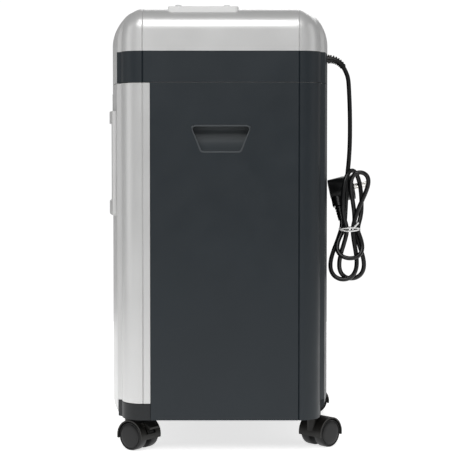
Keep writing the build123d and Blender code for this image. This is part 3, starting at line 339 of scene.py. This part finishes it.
def add_rings(bm, outline, wall):
    """One closed-topped layer of the shell; gives back its lowest ring."""
    rings = []
    for height in ring_heights(COVER_BOTTOM, wall):
        rings.append([bm.verts.new(place) for place in cover_ring(outline, height, wall)])
    for low, high in zip(rings, rings[1:]):
        for i in range(len(low)):
            j = (i + 1) % len(low)
            bm.faces.new((low[i], low[j], high[j], high[i]))
    bm.faces.new(rings[-1])
    return rings[0]


def cut_boxes(piece, boxes):
    """Cut boxes out of a closed mesh."""
    mesh = bpy.data.meshes.new("cutter")
    bm = bmesh.new()
    for low, high in boxes:
        made = bmesh.ops.create_cube(bm, size=1.0)["verts"]
        for vert in made:
            vert.co = [low[k] + (vert.co[k] + 0.5) * (high[k] - low[k]) for k in range(3)]
    bm.to_mesh(mesh)
    bm.free()
    cutter = link(bpy.data.objects.new("cutter", mesh))
    cut = piece.modifiers.new("cut", "BOOLEAN")
    cut.operation = "DIFFERENCE"
    cut.solver = "EXACT"
    cut.object = cutter
    result = piece.evaluated_get(bpy.context.evaluated_depsgraph_get())
    shaped = bpy.data.meshes.new_from_object(result)
    piece.modifiers.clear()
    piece.data = shaped
    bpy.data.objects.remove(cutter)


def make_top_cover():
    """The silver cover as one smooth shell, with grooves and the feed panel's seat and opening."""
    outline = cover_outline()
    mesh = bpy.data.meshes.new("top_cover_skin")
    bm = bmesh.new()
    outer = add_rings(bm, outline, 0.0)
    inner = add_rings(bm, outline, WALL)
    for i in range(len(outer)):
        j = (i + 1) % len(outer)
        bm.faces.new((outer[j], outer[i], inner[i], inner[j]))
    bmesh.ops.recalc_face_normals(bm, faces=bm.faces)
    bm.to_mesh(mesh)
    bm.free()
    piece = link(bpy.data.objects.new("top_cover_skin", mesh))
    half, front, back = PANEL_OPENING
    cut_boxes(piece, [((-half, front, CUT_BELOW), (half, back, CUT_ABOVE))])
    half, front, back = PANEL_SEAT
    cut_boxes(piece, [((-half, front, COVER_TOP - SEAT_DEPTH), (half, back, CUT_ABOVE))])
    grooves = []
    for y in (-SIDE_FLAT, SIDE_FLAT):
        low = (-TOP_HALF, y - GROOVE_HALF, COVER_TOP - GROOVE_DEPTH)
        grooves.append((low, (TOP_HALF, y + GROOVE_HALF, CUT_ABOVE)))
    cut_boxes(piece, grooves)
    for face in piece.data.polygons:
        face.use_smooth = True
    piece.data.set_sharp_from_angle(angle=COVER_SHARP)
    return piece


# ---------------------------------------------------------------- caster wheels
# name, X and Y of the stem, direction of trail in degrees
CASTERS = (
    ("front_right", 0.136, -0.130, 53.0),
    ("rear_right", 0.136, 0.130, 133.5),
    ("front_left", -0.136, -0.130, 24.0),
    ("rear_left", -0.136, 0.130, 98.0),
)
TRAIL = 0.017
HUB_HEIGHT = 0.020
WHEEL_STEPS = 72
WHEEL_SHARP = math.radians(40)
# Section of one wheel from its blind bore, round the tyre and the groove, to the middle of its
# disc: distance out along the axle, radius.
WHEEL_SECTION = (
    (0.0174, 0.0), (0.0174, 0.0032), (0.0056, 0.0032), (0.0056, 0.0186), (0.0060, 0.0195),
    (0.0068, 0.0200), (0.0172, 0.0200), (0.0188, 0.0197), (0.0199, 0.0190), (0.0203, 0.0181),
    (0.0201, 0.0176), (0.0188, 0.0174), (0.0188, 0.0167), (0.0200, 0.0165), (0.0204, 0.0160),
    (0.0207, 0.0120), (0.0209, 0.0060), (0.0210, 0.0),
)


def add_wheel(bm, hub, out, trail):
    """Turn the wheel's section round its axle."""
    rings = []
    for along, radius in WHEEL_SECTION:
        ring = []
        for i in range(WHEEL_STEPS if radius else 1):
            a = 2 * math.pi * i / WHEEL_STEPS
            spoke = trail * math.cos(a) + Vector((0, 0, math.sin(a)))
            ring.append(bm.verts.new(hub + out * along + spoke * radius))
        rings.append(ring)
    for low, high in zip(rings, rings[1:]):
        for i in range(WHEEL_STEPS):
            j = (i + 1) % WHEEL_STEPS
            corners = [low[i % len(low)], low[j % len(low)]]
            corners += [high[j % len(high)], high[i % len(high)]]
            bm.faces.new(list(dict.fromkeys(corners)))


def make_wheels(name, x, y, turn):
    """A pair of twin wheels, each with a tyre, a fine groove and a slightly domed disc."""
    turn = math.radians(turn)
    trail = Vector((math.cos(turn), math.sin(turn), 0))
    axle = Vector((math.sin(turn), -math.cos(turn), 0))
    hub = Vector((x, y, HUB_HEIGHT)) + trail * TRAIL
    bm = bmesh.new()
    add_wheel(bm, hub, axle, trail)
    add_wheel(bm, hub, -axle, trail)
    bmesh.ops.recalc_face_normals(bm, faces=bm.faces)
    for face in bm.faces:
        face.smooth = True
    mesh = bpy.data.meshes.new("wheels")
    bm.to_mesh(mesh)
    bm.free()
    mesh.set_sharp_from_angle(angle=WHEEL_SHARP)
    piece = link(bpy.data.objects.new("turned_wheels_" + name, mesh))
    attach(piece, "wheels_" + name)
    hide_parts("caster_wheels_" + name)
    return piece


wheels = [make_wheels(*caster) for caster in CASTERS]

# ---------------------------------------------------------------- rims of the hand grips
GRIP_CORNERS = ((-0.0412, 0.4562), (0.0412, 0.4562), (0.0266, 0.4213), (-0.0266, 0.4213))
GRIP_CORNER_R = 0.0030
GRIP_RIM_R = 0.00042
GRIP_CORNER_STEPS = 6


def make_grip_rim(side):
    """A fine rounded lip round the mouth of a side's hand grip."""
    low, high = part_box("hand_grip_" + side)
    face = high.x if side == "right" else low.x
    points = []
    for k, corner in enumerate(GRIP_CORNERS):
        corner = Vector(corner)
        before = (Vector(GRIP_CORNERS[k - 1]) - corner).normalized()
        after = (Vector(GRIP_CORNERS[(k + 1) % 4]) - corner).normalized()
        for i in range(GRIP_CORNER_STEPS + 1):
            t = i / GRIP_CORNER_STEPS
            points.append(corner + (before * (1 - t) ** 2 + after * t**2) * GRIP_CORNER_R)
    data = bpy.data.curves.new("grip_rim", "CURVE")
    data.dimensions = "3D"
    data.bevel_depth = GRIP_RIM_R
    data.bevel_resolution = 4
    spline = data.splines.new("POLY")
    spline.points.add(len(points) - 1)
    for spot, place in zip(spline.points, points):
        spot.co = (face, place.x, place.y, 1)
    spline.use_cyclic_u = True
    piece = as_mesh(link(bpy.data.objects.new("grip_rim_" + side, data)))
    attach(piece, "cabinet")
    return piece


rims = [make_grip_rim("right"), make_grip_rim("left")]

# ---------------------------------------------------------------- materials
def shader_of(material):
    """The material's surface shader."""
    return material.node_tree.nodes["Principled BSDF"]


def new_material(name, color, roughness, metallic=0.0):
    """A material whose fixed values sit on the shader itself."""
    material = bpy.data.materials.new(name)
    material.use_nodes = True
    shader = shader_of(material)
    shader.inputs["Base Color"].default_value = (*color, 1)
    shader.inputs["Roughness"].default_value = roughness
    shader.inputs["Metallic"].default_value = metallic
    return material


def noise(material, scale, detail, stretch=(1, 1, 1)):
    """Object-space noise, stretched for brushing or moulding flow."""
    nodes, links = material.node_tree.nodes, material.node_tree.links
    place = nodes.new("ShaderNodeTexCoord")
    spread = nodes.new("ShaderNodeMapping")
    spread.inputs["Scale"].default_value = stretch
    source = nodes.new("ShaderNodeTexNoise")
    source.inputs["Scale"].default_value = scale
    source.inputs["Detail"].default_value = detail
    links.new(place.outputs["Object"], spread.inputs["Vector"])
    links.new(spread.outputs["Vector"], source.inputs["Vector"])
    return source


def vary_color(material, color, spread, scale, detail=3.0, stretch=(1, 1, 1)):
    """Slow drift of the base colour between a little darker and a little lighter."""
    nodes, links = material.node_tree.nodes, material.node_tree.links
    source = noise(material, scale, detail, stretch)
    ramp = nodes.new("ShaderNodeValToRGB")
    ramp.color_ramp.elements[0].position = 0.3
    ramp.color_ramp.elements[1].position = 0.7
    ramp.color_ramp.elements[0].color = (*[c * (1 - spread) for c in color], 1)
    ramp.color_ramp.elements[1].color = (*[min(1.0, c * (1 + spread)) for c in color], 1)
    links.new(source.outputs["Fac"], ramp.inputs["Fac"])
    links.new(ramp.outputs["Color"], shader_of(material).inputs["Base Color"])


def vary_roughness(material, low, high, scale, stretch=(1, 1, 1)):
    """Handling marks: roughness that drifts between two values."""
    nodes, links = material.node_tree.nodes, material.node_tree.links
    source = noise(material, scale, 5.0, stretch)
    span = nodes.new("ShaderNodeMapRange")
    span.inputs["From Min"].default_value = 0.3
    span.inputs["From Max"].default_value = 0.7
    span.inputs["To Min"].default_value = low
    span.inputs["To Max"].default_value = high
    links.new(source.outputs["Fac"], span.inputs["Value"])
    links.new(span.outputs["Result"], shader_of(material).inputs["Roughness"])


def add_grain(material, scale, strength, height, stretch=(1, 1, 1), detail=2.0):
    """Fine surface relief."""
    nodes, links = material.node_tree.nodes, material.node_tree.links
    source = noise(material, scale, detail, stretch)
    bump = nodes.new("ShaderNodeBump")
    bump.inputs["Strength"].default_value = strength
    bump.inputs["Distance"].default_value = height
    links.new(source.outputs["Fac"], bump.inputs["Height"])
    links.new(bump.outputs["Normal"], shader_of(material).inputs["Normal"])


def plastic(name, color, rough, grain_scale=1600, grain=0.25, spread=0.06, coat=0.0):
    """Moulded plastic with a fine spark-eroded grain."""
    material = new_material(name, color, rough)
    vary_color(material, color, spread, 9.0)
    vary_roughness(material, rough - 0.04, rough + 0.05, 30.0)
    add_grain(material, grain_scale, grain, 0.00008)
    if coat:
        shader = shader_of(material)
        shader.inputs["Coat Weight"].default_value = coat
        shader.inputs["Coat Roughness"].default_value = 0.25
    return material


def silver_paint(name, color, rough, metallic):
    """Satin silver paint: a fine flake in the colour and a little orange peel."""
    material = new_material(name, color, rough, metallic)
    vary_color(material, color, 0.035, 2600.0, 1.0)
    vary_roughness(material, rough - 0.03, rough + 0.04, 22.0)
    add_grain(material, 420.0, 0.12, 0.00006)
    return material


def metal(name, color, rough, stretch=(1, 1, 1), scale=900, grain=0.3):
    """Machined or brushed metal; the noise is stretched across the brushing."""
    material = new_material(name, color, rough, 1.0)
    vary_color(material, color, 0.08, scale * 0.5, 2.0, stretch)
    vary_roughness(material, rough - 0.06, rough + 0.08, scale * 0.3, stretch)
    add_grain(material, scale, grain, 0.00004, stretch)
    return material


def clear(name, color, rough, transmission, ior=1.49):
    """Clear or smoked plastic."""
    material = new_material(name, color, rough)
    shader = shader_of(material)
    shader.inputs["Transmission Weight"].default_value = transmission
    shader.inputs["IOR"].default_value = ior
    add_grain(material, 300.0, 0.03, 0.00005)
    return material


MATERIALS = {
    "silver_shell": silver_paint("silver_shell", (0.59, 0.59, 0.586), 0.34, 0.52),
    "pale_panel": plastic("pale_panel", (0.66, 0.66, 0.655), 0.42, 1400, 0.2, 0.02),
    "dark_shell": plastic("dark_shell", (0.0098, 0.0146, 0.0187), 0.43, 1500, 0.35),
    "black_moulding": plastic("black_moulding", (0.010, 0.0115, 0.013), 0.45, 1300, 0.3),
    "steel_sheet": metal("steel_sheet", (0.55, 0.55, 0.54), 0.38, (1, 12, 1)),
    "bright_steel": metal("bright_steel", (0.62, 0.61, 0.60), 0.28, (12, 1, 1)),
    "idler_plastic": plastic("idler_plastic", (0.62, 0.58, 0.48), 0.45, 900, 0.15),
    "bronze": metal("bronze", (0.52, 0.33, 0.14), 0.4),
    "motor_steel": metal("motor_steel", (0.18, 0.18, 0.18), 0.45),
    "circuit_board": plastic("circuit_board", (0.02, 0.11, 0.04), 0.35, 500, 0.4, 0.25),
    "smoked_pane": clear("smoked_pane", (0.25, 0.25, 0.27), 0.06, 0.85),
    "bucket_plastic": plastic("bucket_plastic", (0.07, 0.07, 0.074), 0.5, 1100, 0.3),
    "button_plastic": plastic("button_plastic", (0.60, 0.61, 0.61), 0.22, 900, 0.06, 0.02, 0.6),
    "lens": clear("lens", (0.25, 0.6, 0.3), 0.08, 0.5),
    "cord_rubber": plastic("cord_rubber", (0.0022, 0.0022, 0.0024), 0.30, 900, 0.3, 0.15),
    "plated_pins": metal("plated_pins", (0.7, 0.69, 0.66), 0.18),
    "white_tie": plastic("white_tie", (0.78, 0.78, 0.77), 0.45, 1500, 0.2, 0.02),
    "caster_hood": plastic("caster_hood", (0.0105, 0.0098, 0.0086), 0.42, 1200, 0.3, 0.12),
    "caster_wheel": plastic("caster_wheel", (0.0095, 0.0096, 0.0100), 0.42, 1200, 0.3, 0.12),
}

# How strongly the dark mouldings shine, against a half for ordinary plastic.
SHINE = {
    "dark_shell": 0.36,
    "black_moulding": 0.34,
    "caster_wheel": 0.30,
    "caster_hood": 0.32,
    "cord_rubber": 0.38,
}
for slot, level in SHINE.items():
    shader_of(MATERIALS[slot]).inputs["Specular IOR Level"].default_value = level


def dress(piece, material):
    """Give a piece one material on every slot."""
    if not piece.data.materials:
        piece.data.materials.append(material)
    for i in range(len(piece.data.materials)):
        piece.data.materials[i] = material


for entry in frame["record"]["subparts"]:
    dress(NODES[entry["node"]], MATERIALS[entry["material_slot"]])
dress(cord, MATERIALS["cord_rubber"])
for piece in wheels:
    dress(piece, MATERIALS["caster_wheel"])
# The grips and their rims get a lighter copy of the dark plastic: painted light, standing in for the
# light that the grip's up-facing scoop catches from above.
grip_painted_light_plastic = plastic("grip_painted_light_plastic", (0.045, 0.052, 0.057), 0.40, 1300, 0.3)
for piece in (*rims, NODES["hand_grip_right"], NODES["hand_grip_left"]):
    dress(piece, grip_painted_light_plastic)
for piece in tie:
    dress(piece, MATERIALS["white_tie"])
cover = make_top_cover()
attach(cover, "cabinet")
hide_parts("top_cover")
dress(cover, MATERIALS["silver_shell"])

# ---------------------------------------------------------------- studio
FLOOR_HALF = 1.3
FLOOR_GLOW = 0.70
END_LEVEL = 0.37           # how bright the surround is towards -X and +X
SIDE_LEVEL = 0.29          # and towards -Y and +Y
BACKDROP_LEVEL = 1.05      # and where the camera sees it


def make_floor():
    """A plain white light table."""
    mesh = bpy.data.meshes.new("floor")
    quarters = ((-1, -1), (1, -1), (1, 1), (-1, 1))
    corners = [(x * FLOOR_HALF, y * FLOOR_HALF, 0) for x, y in quarters]
    mesh.from_pydata(corners, [], [(0, 1, 2, 3)])
    floor = link(bpy.data.objects.new("floor", mesh))
    white = new_material("floor", (0.9, 0.9, 0.9), 0.9)
    shader = shader_of(white)
    shader.inputs["Emission Color"].default_value = (1, 1, 1, 1)
    shader.inputs["Emission Strength"].default_value = FLOOR_GLOW
    dress(floor, white)


def make_softbox(name, place, target, width, height, power):
    """A rectangular soft light aimed at a point."""
    data = bpy.data.lights.new(name, "AREA")
    data.shape = "RECTANGLE"
    data.size = width
    data.size_y = height
    data.energy = power
    light = link(bpy.data.objects.new(name, data))
    light.location = place
    way = Vector(target) - Vector(place)
    light.rotation_euler = way.to_track_quat("-Z", "Y").to_euler()


def make_world():
    """A white backdrop, and a dimmer surround that lights the machine."""
    world = bpy.data.worlds.new("studio")
    world.use_nodes = True
    nodes, links = world.node_tree.nodes, world.node_tree.links
    way = nodes.new("ShaderNodeTexCoord")
    split = nodes.new("ShaderNodeSeparateXYZ")
    square = nodes.new("ShaderNodeMath")
    square.operation = "POWER"
    square.inputs[1].default_value = 2.0
    level = nodes.new("ShaderNodeMapRange")
    level.inputs["To Min"].default_value = SIDE_LEVEL
    level.inputs["To Max"].default_value = END_LEVEL
    ray = nodes.new("ShaderNodeLightPath")
    strength = nodes.new("ShaderNodeMix")
    strength.inputs["B"].default_value = BACKDROP_LEVEL
    back = nodes["Background"]
    back.inputs["Color"].default_value = (1, 1, 1, 1)
    links.new(way.outputs["Generated"], split.inputs["Vector"])
    links.new(split.outputs["X"], square.inputs[0])
    links.new(square.outputs["Value"], level.inputs["Value"])
    links.new(ray.outputs["Is Camera Ray"], strength.inputs["Factor"])
    links.new(level.outputs["Result"], strength.inputs["A"])
    links.new(strength.outputs["Result"], back.inputs["Strength"])
    bpy.context.scene.world = world


MACHINE = (0.0, 0.0, 0.35)
make_floor()
make_world()
make_softbox("right_key", (2.2, -0.4, 2.0), MACHINE, 2.2, 1.3, 43)
make_softbox("left_key", (-2.2, 0.5, 2.0), MACHINE, 2.0, 1.4, 20)
make_softbox("front_fill", (0.6, -2.6, 0.9), MACHINE, 1.4, 1.8, 6)
make_softbox("back_fill", (0.6, 2.6, 0.9), MACHINE, 1.4, 1.8, 4.5)
bpy.context.scene.view_settings.view_transform = "Standard"
